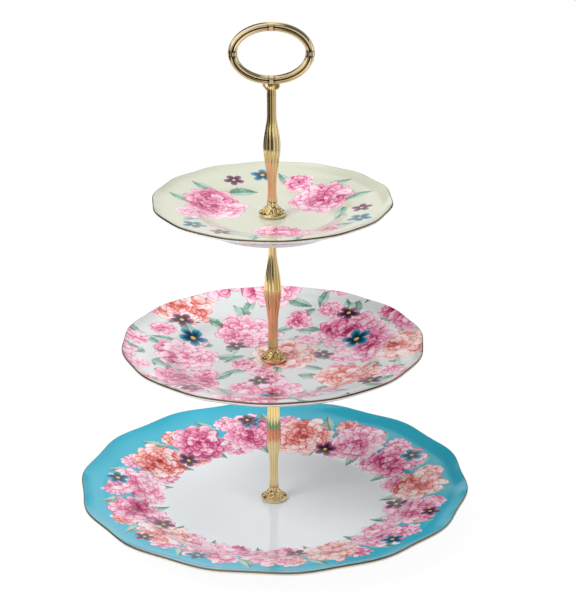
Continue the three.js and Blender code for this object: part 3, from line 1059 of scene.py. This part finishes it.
def makeScrew():
    bottom, top = heightsOf("base_screw")
    head, under = screw["head"], bottom + screw["headHeight"]
    roundIn, roundUp = screw["headRound"]
    core, chamfer, halfSlot = thread["core"], stud["chamfer"], screw["slotWidth"] / 2
    bm = spinOutline([
        (0, bottom), (head - roundIn, bottom), ((head, bottom), (head, bottom + roundUp), 5),
        (head, under - 0.1), (head - 0.1, under), (core, under),
        (core, top - chamfer), (core - chamfer, top), (0, top),
    ], screw["segments"])
    # the slot: the head's underside is cut along two lines and the strip between them pushed in
    for side in (-1, 1):
        bmesh.ops.bisect_plane(bm, geom=bm.verts[:] + bm.edges[:] + bm.faces[:], dist=1e-5,
                               plane_co=(0, side * halfSlot, 0), plane_no=(0, 1, 0))
    strip = []
    for face in bm.faces:
        middle = face.calc_center_median()
        if abs(middle.y) < halfSlot and middle.z < bottom + roundUp + 0.05 and face.normal.z < -0.2:
            strip.append(face)
    made = bmesh.ops.extrude_face_region(bm, geom=strip)["geom"]
    for item in made:
        if isinstance(item, bmesh.types.BMVert):
            item.co.z = bottom + screw["slotDepth"]
    bmesh.ops.delete(bm, geom=[face for face in strip if face.is_valid], context="FACES")
    addThread(bm, thread, under, top)
    makePiece(bm, "slotted_screw", "base_screw", "lower_stem", metals["steel"], stud["crease"])


# Oval loop of the handle. Its bar is two ridges with a groove between them.
loop = {
    "halfWidth": 25.3, "halfHeight": 18.0, "segments": 160, "sides": 20, "crease": 45,
    "ridgeApart": 1.38, "ridge": 1.56, "depth": 2.85, "grooveWidth": 0.75,
    "bandWidth": 2.4, "bandReach": 3.1, "bandDepth": 3.0,
    "bandShadowLine": 0.9,  # the painted shadow line beside each band
}


def ovalPlace(angle, out):
    # A point round the oval, moved outwards along the oval's own normal
    a, b = loop["halfWidth"], loop["halfHeight"]
    normal = Vector((b * cos(angle), 0, a * sin(angle))).normalized()
    return Vector((a * cos(angle), 0, b * sin(angle))) + normal * out


def sweepOval(bm, section, start, sweep, steps):
    # Spins a section, given as (out, depth) points, round a circle, and moves the result to the oval
    circle = 10
    verts, edges = addChain(bm, [(circle + out, depth, 0) for out, depth in section], closed=True)
    before = set(bm.verts) - set(verts)
    rotate(bm, verts, "Y", -start)
    whole = abs(sweep - wholeTurn) < 1e-6
    spin(bm, verts + edges, sweep, steps, axis=(0, -1, 0), merge=whole)
    made = [vert for vert in bm.verts if vert not in before]
    for vert in made:
        angle = atan2(vert.co.z, vert.co.x)
        place = ovalPlace(angle, hypot(vert.co.x, vert.co.z) - circle)
        vert.co = (place.x, vert.co.y, place.z)
    if not whole:
        closeEnds(bm)
    return made


def ridgeSection():
    # Two overlapping ovals side by side, as one outline
    points = []
    apart, ridge, depth = loop["ridgeApart"], loop["ridge"], loop["depth"]
    reach = pi - acos(apart / ridge)
    for side in (1, -1):
        for i in range(loop["sides"]):
            angle = -reach + 2 * reach * i / (loop["sides"] - 1)
            point = (side * (apart + ridge * cos(angle)), side * depth * sin(angle))
            if not points or dist(point, points[-1]) > 0.05:
                points.append(point)
    return points


def makeLoop():
    low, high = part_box("handle_loop")
    a, b, bandWidth = loop["halfWidth"], loop["halfHeight"], loop["bandWidth"]
    bm = bmesh.new()
    grooveShade = bm.verts.layers.float.new("groove")
    for vert in sweepOval(bm, ridgeSection(), 0, wholeTurn, loop["segments"]):
        out = abs(hypot(vert.co.x / a, vert.co.z / b) - 1) * b
        beside = min(abs(vert.co.x), abs(vert.co.z)) - bandWidth / 2
        # painted shade: a shadow line beside each band, and shade deepest in the groove between the ridges
        if 0 < beside < loop["bandShadowLine"]:
            vert[grooveShade] = 1
        elif abs(vert.co.y) > 1:
            vert[grooveShade] = 1 - easeBetween(out, 0, loop["grooveWidth"])
    sides = [wholeTurn * i / loop["sides"] for i in range(loop["sides"])]
    band = [(loop["bandReach"] * cos(side), loop["bandDepth"] * sin(side)) for side in sides]
    for i in range(4):
        quarter = i * pi / 2
        sweep = bandWidth / hypot(a * sin(quarter), b * cos(quarter))
        sweepOval(bm, band, quarter - sweep / 2, sweep, 2)
    bmesh.ops.remove_doubles(bm, verts=bm.verts, dist=0.001)
    move(bm, (0, 0, (low.z + high.z) / 2 / mm))
    makePiece(bm, "oval_loop", "handle_loop", "handle", metals["paleGilt"], loop["crease"])


# Collet that carries the loop, with a curled leaf and a straight one
collet = {
    "neck": 3.12, "cup": 2.5, "segments": 144, "crease": 44,
    "inLoop": 0.3,  # how far the cup reaches into the loop
    "curl": {
        "centre": (3.1, 5.9), "reach": 1.95, "from": -120, "sweep": 290, "bar": 0.62, "depth": 1.7,
        "shadeWeb": 0.7,  # half the thickness of the web that closes it, painted dark as the shade inside the curl
    },
    "blade": {
        "foot": (-2.4, 2.6), "tip": (-5.0, 6.2), "bar": 0.8, "thinner": 0.85, "depth": 1.7,
        "knob": 0.98, "knobDepth": 1.6,
    },
}


def addCurl(bm, foot, grooveShade):
    # A leaf bent round an arc that is seen from the front, with a thin web in it that is painted dark as the
    # shade inside the curl
    size = collet["curl"]
    section = bmesh.ops.create_circle(bm, segments=12, radius=1)["verts"]
    before = set(bm.verts) - set(section)
    bmesh.ops.scale(bm, vec=(size["bar"], size["depth"], 1), verts=section)
    move(bm, (size["reach"], 0, 0), section)
    rotate(bm, section, "Y", -radians(size["from"]))
    spin(bm, section + edgesOf(section), radians(size["sweep"]), steps=24, axis=(0, -1, 0))
    closeEnds(bm)
    shadeWeb = bmesh.ops.create_uvsphere(bm, u_segments=24, v_segments=12, radius=size["reach"])["verts"]
    bmesh.ops.scale(bm, vec=(1, size["shadeWeb"] / size["reach"], 1), verts=shadeWeb)
    # the web carries full painted shade
    for vert in shadeWeb:
        vert[grooveShade] = 1
    across, up = size["centre"]
    made = [vert for vert in bm.verts if vert not in before]
    move(bm, (across, 0, foot + up), made)


def addBlade(bm, foot):
    # A straight leaf that leans out to a small knob
    size = collet["blade"]
    start, tip = [Vector((across, 0, foot + up)) for across, up in (size["foot"], size["tip"])]
    lean = (tip - start).to_track_quat("Z", "Y").to_matrix().to_4x4()
    bar = size["bar"]
    blade = bmesh.ops.create_cone(bm, segments=14, radius1=bar, radius2=bar * size["thinner"],
                                  depth=(tip - start).length, cap_ends=True)["verts"]
    widen = Matrix.Diagonal((1, size["depth"] / bar, 1, 1))
    middle = Matrix.Translation((start + tip) / 2)
    bmesh.ops.transform(bm, verts=blade, matrix=middle @ widen @ lean)
    knob = bmesh.ops.create_uvsphere(bm, u_segments=16, v_segments=10, radius=size["knob"])["verts"]
    bmesh.ops.scale(bm, vec=(1, size["knobDepth"], 1), verts=knob)
    move(bm, tip, knob)


def makeCollet():
    bottom = heightsOf("handle_collet")[0]
    top = heightsOf("handle_loop")[0] + collet["inLoop"]
    neck, cup = collet["neck"], collet["cup"]
    bm = spinOutline([
        (0, bottom), (neck, bottom), (neck - 0.05, bottom + 1),
        ((neck - 0.1, bottom + 4), (cup, top - 1), 8), (cup, top), (0, top),
    ], collet["segments"])
    # painted shade in the flutes' grooves, and full shade on the curl's web
    grooveShade = bm.verts.layers.float.new("groove")
    for vert in bm.verts:
        if hypot(vert.co.x, vert.co.y) > 1:
            flute(vert, rods["neckFlute"], grooveShade)
    addCurl(bm, bottom, grooveShade)
    addBlade(bm, bottom)
    makePiece(bm, "leaf_collet", "handle_collet", "handle", metals["leafGilt"], collet["crease"])


makeCamera()
for name, settings in studio["lamps"].items():
    makeLamp(name, settings)
makeWorld()
makeFloor()
for name, settings in flats.items():
    makeFlat(name, settings)
print("camera, lamps and floor in place")

rubberLook = siliconeMaterial()
makePlate("bottom", printGarland)
makePlate("middle", printAllOver)
makePlate("top", printSprays)
print("china done")

for tier, body in (("lower", "lower_stem"), ("middle", "middle_stem"), ("upper", "handle")):
    makeRod(tier, body)
    makeCollar(tier, body)
print("rods and collars done")

for name, body in (("bottom_cushion", "bottom_plate"), ("lower_seat", "bottom_plate"),
                   ("middle_cushion", "middle_plate"), ("middle_seat", "middle_lift"),
                   ("top_cushion", "top_plate"), ("upper_seat", "handle_lift")):
    makeWasher(name + "_washer", body, rubberLook, washer["softEdge"])
for name, body in (("bottom_metal", "lower_stem"), ("middle_metal", "lower_stem"),
                   ("top_metal", "middle_stem")):
    makeWasher(name + "_washer", body, metals["gilt"], washer["metalEdge"])
makeStud("middle_stud", "middle_stem", thread)
makeStud("upper_stud", "handle", thread)
makeStud("handle_stud", "handle", smallThread)
makeScrew()
print("fittings done")

makeLoop()
makeCollet()
print("handle done")

settings = bpy.context.scene.view_settings
settings.view_transform = "Standard"
